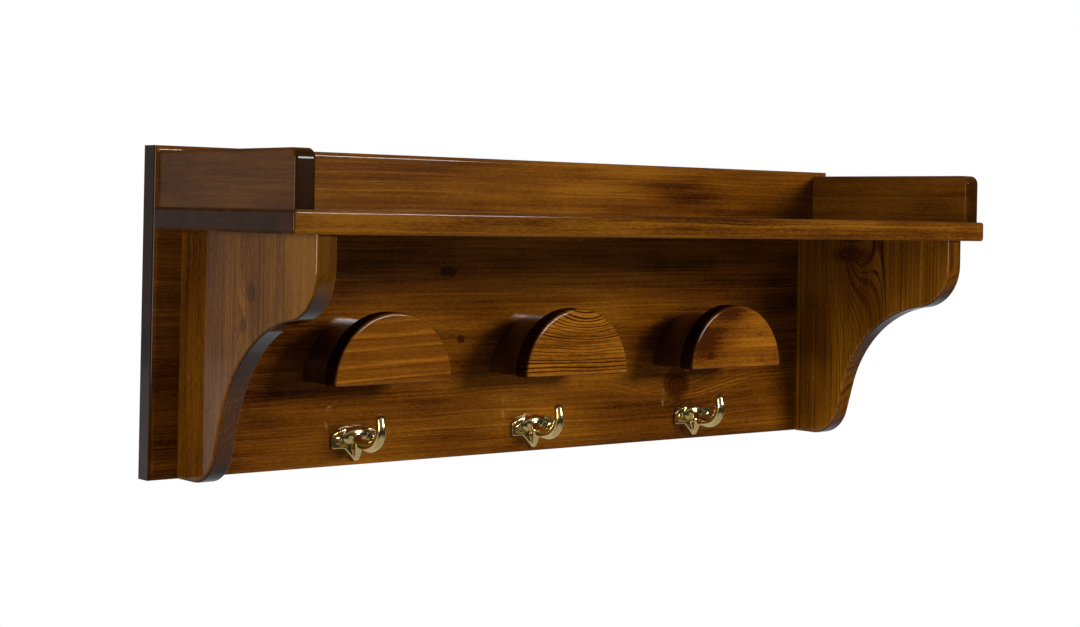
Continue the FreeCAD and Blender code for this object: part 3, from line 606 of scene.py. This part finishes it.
dress("left_rail", stained_pine(
    "left_rail_pine", "YZX", pith=(0, 0.02, -0.35), ring_width=0.006, wander=0.02, tone=0.53, lines=0.1,
    fibre=1.1, end_tone=0.22))
dress("right_rail", stained_pine(
    "right_rail_pine", "YZX", pith=(0, -0.15, 0.52), ring_width=0.005, wander=0.016, tone=1.1, lines=-0.2,
    bands=0.5, end_tone=0.2))
dress("left_bracket", stained_pine(
    "left_bracket_pine", "ZYX", pith=(0.3, -0.42, -0.46), ring_width=0.0045, wander=0.016, tone=0.88,
    yellow=1.08, fibre=1.6, bands=0.6, end_tone=0.15, edge_tone=0.42, knot_dark=0.75, curved=True,
    knots=[(0.0234, -0.145, 0.0075, 0.014, 0.8), (-0.0055, -0.1326, 0.0055, 0.009, 0.7)],
    patches=[(0.0, -0.012, 0.03, -0.15, 0.45), (0.065, -0.25, 0.02, 0.35, 0.6)]))
dress("right_bracket", stained_pine(
    "right_bracket_pine", "ZYX", pith=(0, 0.12, 0.48), ring_width=0.0045, wander=0.01, tone=1.65,
    yellow=1.1, lines=-0.4, uneven=2.0, fade=0.7, bands=0.6, edge_tone=0.36, curved=True,
    knots=[(0.074, -0.108, 0.018, 0.052, 9.0), (0.058, -0.106, 0.03, 0.0, 3.0)]))

# %% [markdown]
# ## The bridle holders
#
# Each holder is a half drum with a half disc in front, cut from offcuts, so no two discs look alike:
# one has long gentle lines, one strong arcs, one is blotchy. They could share one finish, turned
# differently, but their trees differ more than that. The sides of the drums and the rims of the
# discs are dark, because so much of a turned edge is sawn across the grain.

# %% Holders
THIRDS = ("left", "middle", "right")
DISC_RIM = {"edge_tone": 0.34, "edge_varnish": 0.0, "curved": True}
DRUM_GLOSS = 0.28

dress("left_disc", stained_pine(
    "left_disc_pine", "XZY", pith=(-0.63, 0.18, 0.0), ring_width=0.0125, wander=0.012, tone=1.3, lines=0.4,
    fibre=1.2, bands=0.3, squash=(0.15, 1, 1), uneven=1.0, fade=0.4, **DISC_RIM))
dress("middle_disc", stained_pine(
    "middle_disc_pine", "XZY", pith=(0.0, 0.25, -0.09), ring_width=0.0046, wander=0.024, tone=1.18,
    lines=-0.85, fibre=2.0, bands=0.6, squash=(0, 1, 0), uneven=1.0, fade=0.25, knot_dark=0.1,
    knots=[(0.012, -0.008, 0.015, -0.028, 0.85)], **DISC_RIM))
dress("right_disc", stained_pine(
    "right_disc_pine", "XZY", pith=(0.24, 0.2, 0.2), ring_width=0.006, wander=0.02, tone=1.3, lines=0.15,
    fibre=1.6, clouds=1.6, knot_dark=0.5,
    knots=[(0.270, -0.032, 0.0026, 0.002, 0.6), (0.2725, -0.059, 0.0026, 0.002, 0.6),
           (0.1927, -0.0546, 0.005, 0.004, 0.7)],
    patches=[(0.184, -0.036, 0.013, -0.6, 0.9), (0.222, -0.006, 0.009, -0.6, 0.6)], **DISC_RIM))
drum_pine = stained_pine(
    "drum_pine", "XZY", pith=(0, -0.08, 0.05), ring_width=0.004, wander=0.02, tone=1.35, gloss=DRUM_GLOSS,
    curved=True)
for third in THIRDS:
    dress(f"{third}_drum", drum_pine)
dress("shelf_plugs", stained_pine(
    "plug_pine", "XYZ", pith=(0, 0.2, 0.1), ring_width=0.003, wander=0.01, tone=0.9))

# %% [markdown]
# ## Brass, steel and bare dowel
#
# The hooks are cast brass, filed and polished bright. The screws and the hanger plates on the back are
# zinc plated steel, and the dowels between disc and drum are bare beech. Each is nearly one colour.
# A picture of scratches could break it up, but at this size two close colours and fine noise do.

# %% Brass
TARNISH = (0.45, 0.75)


def plain_finish(name, colour, dull_colour, polish, dullness, lumps, metallic):
    """Metal or bare wood: two close colours and two levels of polish, mixed by fine noise."""
    finish, tree = blank_material(name)
    spot = add_node(tree, "ShaderNodeTexCoord").outputs["Object"]
    tarnish = soft_step(tree, noise(tree, spot, lumps, detail=4.0, roughness=0.6), *TARNISH)
    shader = add_node(tree, "ShaderNodeBsdfPrincipled", **{
        "Base Color": mixed(tree, colour + (1.0,), dull_colour + (1.0,), tarnish),
        "Roughness": add_maths(tree, "MULTIPLY_ADD", tarnish, dullness - polish, polish),
        "Metallic": metallic})
    add_node(tree, "ShaderNodeOutputMaterial", Surface=shader.outputs[0])
    return finish


brass = plain_finish("polished_brass", (0.88, 0.68, 0.28), (0.80, 0.58, 0.21), polish=0.14, dullness=0.22,
                     lumps=(160, 160, 160), metallic=1.0)
zinc = plain_finish("zinc_plate", (0.62, 0.63, 0.64), (0.45, 0.46, 0.48), polish=0.3, dullness=0.5,
                    lumps=(220, 220, 220), metallic=1.0)
beech = plain_finish("bare_beech", (0.55, 0.36, 0.2), (0.45, 0.28, 0.15), polish=0.6, dullness=0.8,
                     lumps=(900, 40, 900), metallic=0.0)
for node in sorted(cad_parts):
    if node.endswith(("_hanger", "_screws")) and node != "hook_screws":
        dress(node, zinc)
dress("disc_dowels", beech)

# %% [markdown]
# ## The hook's plate
#
# A hook is one casting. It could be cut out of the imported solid, but that one is plain and sharp. So it
# is modelled the way a pattern maker builds a pattern: simple solids that overlap, which are then
# melted into one skin. The first solid is the plate: an outline with two ears, an arched top and a
# pointed tail, made thick and rounded at its edges.

# %% Plate
MM = 0.001
MERGE = 0.001 * MM
BOARD_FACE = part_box("back_board")[0].y
PLATE_HALF, EAR_TOP, EAR_FOOT = 28.5 * MM, 6.8 * MM, 8.4 * MM
PLATE_ARCH, PLATE_TAIL, TAIL_HIP = 13.2 * MM, 22.5 * MM, 14 * MM
PLATE_THICK = 4.5 * MM
ARCH_STEPS = 12
CORNER_ROUND, RIM_ROUND = 2.2 * MM, 1.2 * MM
SHARP_CORNER = math.radians(30)


def new_vertices(form, points):
    """Vertices at these places, out of the board being minus Y."""
    return [form.verts.new(point) for point in points]


def verts_of(geometry):
    """The vertices among the geometry that an operator gives back."""
    return [part for part in geometry if isinstance(part, bmesh.types.BMVert)]


def plate_solid(form):
    """The hook's back plate, its back on the plane y = 0, its screw line on z = 0."""
    corners = new_vertices(form, [
        (-PLATE_HALF, 0, EAR_TOP), (-PLATE_HALF, 0, -EAR_FOOT), (-TAIL_HIP, 0, -EAR_FOOT),
        (0, 0, -PLATE_TAIL),
        (TAIL_HIP, 0, -EAR_FOOT), (PLATE_HALF, 0, -EAR_FOOT), (PLATE_HALF, 0, EAR_TOP)])
    for pair in zip(corners, corners[1:]):
        form.edges.new(pair)
    crown = PLATE_ARCH - EAR_TOP
    bow = (PLATE_HALF ** 2 + crown ** 2) / (2 * crown)
    sweep = 2 * math.asin(PLATE_HALF / bow)
    bmesh.ops.spin(form, geom=[corners[-1]], cent=(0, 0, PLATE_ARCH - bow), axis=(0, -1, 0),
                   angle=sweep, steps=ARCH_STEPS)
    bmesh.ops.remove_doubles(form, verts=form.verts, dist=MERGE)
    face = bmesh.ops.contextual_create(form, geom=list(form.edges))["faces"]
    thick = bmesh.ops.extrude_face_region(form, geom=face)["geom"]
    bmesh.ops.translate(form, vec=(0, -PLATE_THICK, 0), verts=verts_of(thick))
    uprights = [edge for edge in form.edges
                if abs(edge.verts[0].co.y - edge.verts[1].co.y) > PLATE_THICK / 2]
    sharp = [edge for edge in uprights if edge.calc_face_angle(0) > SHARP_CORNER]
    bmesh.ops.bevel(form, geom=sharp, offset=CORNER_ROUND, affect="EDGES", segments=4, profile=0.5,
                    material=-1)
    rim = [edge for edge in form.edges if all(vert.co.y < MERGE - PLATE_THICK for vert in edge.verts)]
    bmesh.ops.bevel(form, geom=rim, offset=RIM_ROUND, affect="EDGES", segments=3, profile=0.5,
                    material=-1)


print("plate", round(2 * PLATE_HALF / MM), "mm wide, on the board's face at y", round(BOARD_FACE, 4))

# %% [markdown]
# ## The hook's brow, trunk and tail
#
# From the front a hook looks like a small elephant's head: a broad brow at the top of the plate, and a
# trunk that comes forward and runs down as a ridge into the pointed tail. A subdivided cage could
# give such soft lumps, but balls are quicker to draw. The brow is two flattened balls. The trunk and
# the tail are each a skin stretched round a few balls, which say where the lump is thick.

# %% Brow, trunk and tail
# In millimetres: a middle and three radii for each swelling, a radius and a middle for each ball.
BROW_SWELLINGS = (((0, -4.5, 6.2), (13.5, 5.5, 7.8)), ((0, -2.6, 3.5), (19.0, 5.2, 8.5)))
RIDGE_FOOT = (4.2, (-1.5, -9.4, -9))
TRUNK_BALLS = ((4.5, (-1.5, -5.6, 4)), (5.0, (-2.5, -10.6, -2.5)), RIDGE_FOOT)
TAIL_BALLS = ((2.0, (-5, -2.6, -6)), (2.0, (5, -2.6, -6)), RIDGE_FOOT, (2.6, (0, -5.2, -18.4)))


def brow_solid(form):
    """The broad swelling at the top of the plate."""
    for middle, radii in BROW_SWELLINGS:
        stand = Matrix.Translation(Vector(middle) * MM) @ Matrix.Diagonal(Vector(radii) * MM).to_4x4()
        bmesh.ops.create_icosphere(form, subdivisions=4, radius=1.0, matrix=stand)


def ball_skin(form, balls):
    """The skin stretched round some balls."""
    for radius, middle in balls:
        bmesh.ops.create_icosphere(form, subdivisions=3, radius=radius * MM,
                                   matrix=Matrix.Translation(Vector(middle) * MM))
    bmesh.ops.delete(form, geom=list(form.edges), context="EDGES_FACES")
    bmesh.ops.convex_hull(form, input=list(form.verts))
    bmesh.ops.delete(form, geom=[vert for vert in form.verts if not vert.link_faces], context="VERTS")


def trunk_solid(form):
    """The root that the arm leaves from."""
    ball_skin(form, TRUNK_BALLS)


def tail_solid(form):
    """The ridge that runs down to the rounded tail."""
    ball_skin(form, TAIL_BALLS)


print("trunk of", len(TRUNK_BALLS), "balls, tail of", len(TAIL_BALLS))

# %% [markdown]
# ## The hook's arm
#
# The arm leaves the trunk, dips, and turns up to a round tip. A tube along a curve would have one
# thickness, so the arm is drawn out ring by ring: each ring is extruded from the last, turned round
# the centre of the bend and made a little smaller.

# %% Arm
ARM_START = Vector((0, -9 * MM, -3.5 * MM))
BEND_MIDDLE = Vector((0, -27 * MM, 13.6 * MM))
BEND_RADIUS = 18.6 * MM
ARM_LEAN = math.radians(12)
ARM_TOP = 19.5 * MM
ROOT_RADIUS, TIP_RADIUS = 6.0 * MM, 5.0 * MM
ARM_SIDES = 24
ROOT_STEPS, BEND_STEPS, END_STEPS, TIP_STEPS = 4, 16, 4, 5


def push_ring(form, ring, move, shrink):
    """Extrude a ring of edges, move the new ring, and scale it about its own middle."""
    grown = bmesh.ops.extrude_edge_only(form, edges=ring)["geom"]
    verts = verts_of(grown)
    bmesh.ops.transform(form, matrix=move, verts=verts)
    middle = sum((vert.co for vert in verts), Vector()) / len(verts)
    bmesh.ops.scale(form, vec=(shrink,) * 3, space=Matrix.Translation(-middle), verts=verts)
    edges = [part for part in grown if isinstance(part, bmesh.types.BMEdge)]
    return [edge for edge in edges if all(vert in verts for vert in edge.verts)]


def arm_solid(form):
    """The upturned arm: a straight root, the bend and the upright end with its round tip."""
    to_bend = BEND_MIDDLE - ARM_START
    dip = math.asin(BEND_RADIUS / to_bend.length) - math.atan2(to_bend.z, -to_bend.y)
    run = math.sqrt(to_bend.length_squared - BEND_RADIUS ** 2)
    heading = Vector((0, -math.cos(dip), -math.sin(dip)))
    stand = Matrix.Translation(ARM_START) @ heading.to_track_quat("Z", "Y").to_matrix().to_4x4()
    first = bmesh.ops.create_circle(form, segments=ARM_SIDES, radius=ROOT_RADIUS, matrix=stand)["verts"]
    ring = list({edge for vert in first for edge in vert.link_edges})
    bmesh.ops.contextual_create(form, geom=ring)
    taper = (TIP_RADIUS / ROOT_RADIUS) ** (1 / (ROOT_STEPS + BEND_STEPS + END_STEPS))
    for _ in range(ROOT_STEPS):
        ring = push_ring(form, ring, Matrix.Translation(heading * run / ROOT_STEPS), taper)
    turn = Matrix.Rotation(-(math.pi / 2 + dip + ARM_LEAN) / BEND_STEPS, 4, "X")
    about = Matrix.Translation(BEND_MIDDLE) @ turn @ Matrix.Translation(-BEND_MIDDLE)
    for _ in range(BEND_STEPS):
        ring = push_ring(form, ring, about, taper)
    upward_end = Vector((0, math.sin(ARM_LEAN), math.cos(ARM_LEAN)))
    rise = (ARM_TOP - BEND_MIDDLE.z) / END_STEPS
    for _ in range(END_STEPS):
        ring = push_ring(form, ring, Matrix.Translation(upward_end * rise), taper)
    for step in range(1, TIP_STEPS):
        before, now = (math.pi / 2 * n / TIP_STEPS for n in (step - 1, step))
        lift = TIP_RADIUS * (math.sin(now) - math.sin(before))
        shrink = math.cos(now) / math.cos(before)
        ring = push_ring(form, ring, Matrix.Translation(upward_end * lift), shrink)
    bmesh.ops.contextual_create(form, geom=ring)


print("arm tapers from", 2 * ROOT_RADIUS / MM, "to", 2 * TIP_RADIUS / MM, "mm")

# %% [markdown]
# ## Casting the hooks
#
# The solids of a hook overlap. A Boolean would join them with hard seams. A Remesh modifier lays one
# skin round them all, and a Smooth modifier after it rounds the seams as the sand mould and the
# polishing wheel do. The three hooks are the same casting, each at its own place on the board.

# %% Cast
HEAD_RADIUS = 3.6 * MM
HOOK_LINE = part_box("hook_screws")[0].z + HEAD_RADIUS
SKIN_VOXEL = 0.34 * MM
POLISH_FACTOR, POLISH_ROUNDS = 0.5, 60


def hook_middle(third):
    """Where a hook's middle lies along the board."""
    low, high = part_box(f"{third}_hook")
    return (low.x + high.x) / 2


def add_form(whole, part):
    """Put one bmesh into another, by way of a mesh that is thrown away."""
    carrier = bpy.data.meshes.new("carrier")
    part.to_mesh(carrier)
    part.free()
    whole.from_mesh(carrier)
    bpy.data.meshes.remove(carrier)


def finished_piece(name, form, finish, nodes):
    """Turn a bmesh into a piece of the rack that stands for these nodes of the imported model."""
    mesh = bpy.data.meshes.new(name)
    form.to_mesh(mesh)
    form.free()
    mesh.shade_smooth()
    mesh.materials.append(finish)
    piece = bpy.data.objects.new(name, mesh)
    scene.collection.objects.link(piece)
    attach(piece, "root")
    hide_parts(*nodes)
    return piece


for third in THIRDS:
    pattern = bmesh.new()
    for solid in (plate_solid, brow_solid, trunk_solid, tail_solid, arm_solid):
        part = bmesh.new()
        solid(part)
        bmesh.ops.recalc_face_normals(part, faces=part.faces)
        add_form(pattern, part)
    bmesh.ops.translate(pattern, vec=(hook_middle(third), BOARD_FACE, HOOK_LINE), verts=pattern.verts)
    hook = finished_piece(f"{third}_hook_cast", pattern, brass, [f"{third}_hook"])
    skin = hook.modifiers.new("skin", "REMESH")
    skin.mode = "VOXEL"
    skin.voxel_size = SKIN_VOXEL
    skin.use_smooth_shade = True
    polish = hook.modifiers.new("polish", "SMOOTH")
    polish.factor = POLISH_FACTOR
    polish.iterations = POLISH_ROUNDS
    print(hook.name, "at x", round(hook_middle(third), 4))

# %% [markdown]
# ## The hooks' screws
#
# Each plate is held by two low-headed brass screws with a plain slot. A cylinder on a cylinder would
# have a hard edge. A screw is turned on a lathe, and so is its model: half an outline, spun once
# round. The slot is then cut between two planes and its floor pushed in.

# %% One screw
HEAD_HEIGHT, SHANK_RADIUS = 0.7 * MM, 1.6 * MM
# The eased edge of the head, in shares of its radius and its height.
HEAD_PROFILE = ((0.97, 0.6), (0.88, 0.88), (0.55, 0.96))
# The slot is cut into what lies above this share of the head's height.
HEAD_TOP = 0.35
SCREW_LENGTH, POINT_LENGTH = 16 * MM, 3 * MM
SCREW_SIDES = 28
SLOT_HALF, SLOT_DEPTH = 0.4 * MM, 0.5 * MM


def screw_solid(form, slot_turn):
    """A low-headed screw, its seat on the plane y = 0, its shank along plus Y."""
    under = SCREW_LENGTH - HEAD_HEIGHT
    outline = new_vertices(form, [
        (0, under, 0), (SHANK_RADIUS, under - POINT_LENGTH, 0), (SHANK_RADIUS, 0, 0), (HEAD_RADIUS, 0, 0),
        *((HEAD_RADIUS * out, -HEAD_HEIGHT * up, 0) for out, up in HEAD_PROFILE), (0, -HEAD_HEIGHT, 0)])
    wire = [form.edges.new(pair) for pair in zip(outline, outline[1:])]
    bmesh.ops.spin(form, geom=outline + wire, cent=(0, 0, 0), axis=(0, 1, 0), angle=2 * math.pi,
                   steps=SCREW_SIDES, use_merge=True)
    bmesh.ops.remove_doubles(form, verts=form.verts, dist=MERGE)
    for side in (-1, 1):
        bmesh.ops.bisect_plane(form, geom=form.verts[:] + form.edges[:] + form.faces[:], dist=MERGE / 10,
                               plane_co=(0, 0, side * SLOT_HALF), plane_no=(0, 0, 1))
    in_slot = [face for face in form.faces if abs(face.calc_center_median().z) < SLOT_HALF]
    slot_floor = [face for face in in_slot if face.calc_center_median().y < -HEAD_HEIGHT * HEAD_TOP]
    sunk = bmesh.ops.extrude_face_region(form, geom=slot_floor)["geom"]
    bmesh.ops.delete(form, geom=slot_floor, context="FACES")
    bmesh.ops.translate(form, vec=(0, SLOT_DEPTH, 0), verts=verts_of(sunk))
    bmesh.ops.recalc_face_normals(form, faces=form.faces)
    bmesh.ops.rotate(form, cent=(0, 0, 0), matrix=Matrix.Rotation(slot_turn, 3, "Y"), verts=form.verts)


print("screw", round(SCREW_LENGTH / MM, 1), "mm long")

# %% All screws
SCREW_PITCH = 21.9 * MM
SCREW_SINK = 0.2 * MM
SLOT_TURNS = {"left": (0.5, 1.2), "middle": (-0.4, 0.9), "right": (0.2, -0.8)}
CREASE = math.radians(40)

all_screws = bmesh.new()
seat_depth = BOARD_FACE - PLATE_THICK + SCREW_SINK
for third in THIRDS:
    for side, slot_turn in zip((-1, 1), SLOT_TURNS[third]):
        one = bmesh.new()
        screw_solid(one, slot_turn)
        seat = (hook_middle(third) + side * SCREW_PITCH, seat_depth, HOOK_LINE)
        bmesh.ops.translate(one, vec=seat, verts=one.verts)
        add_form(all_screws, one)
heads = finished_piece("hook_plate_screws", all_screws, brass, ["hook_screws"])
heads.data.set_sharp_from_angle(angle=CREASE)
print(heads.name, len(heads.data.polygons), "faces")
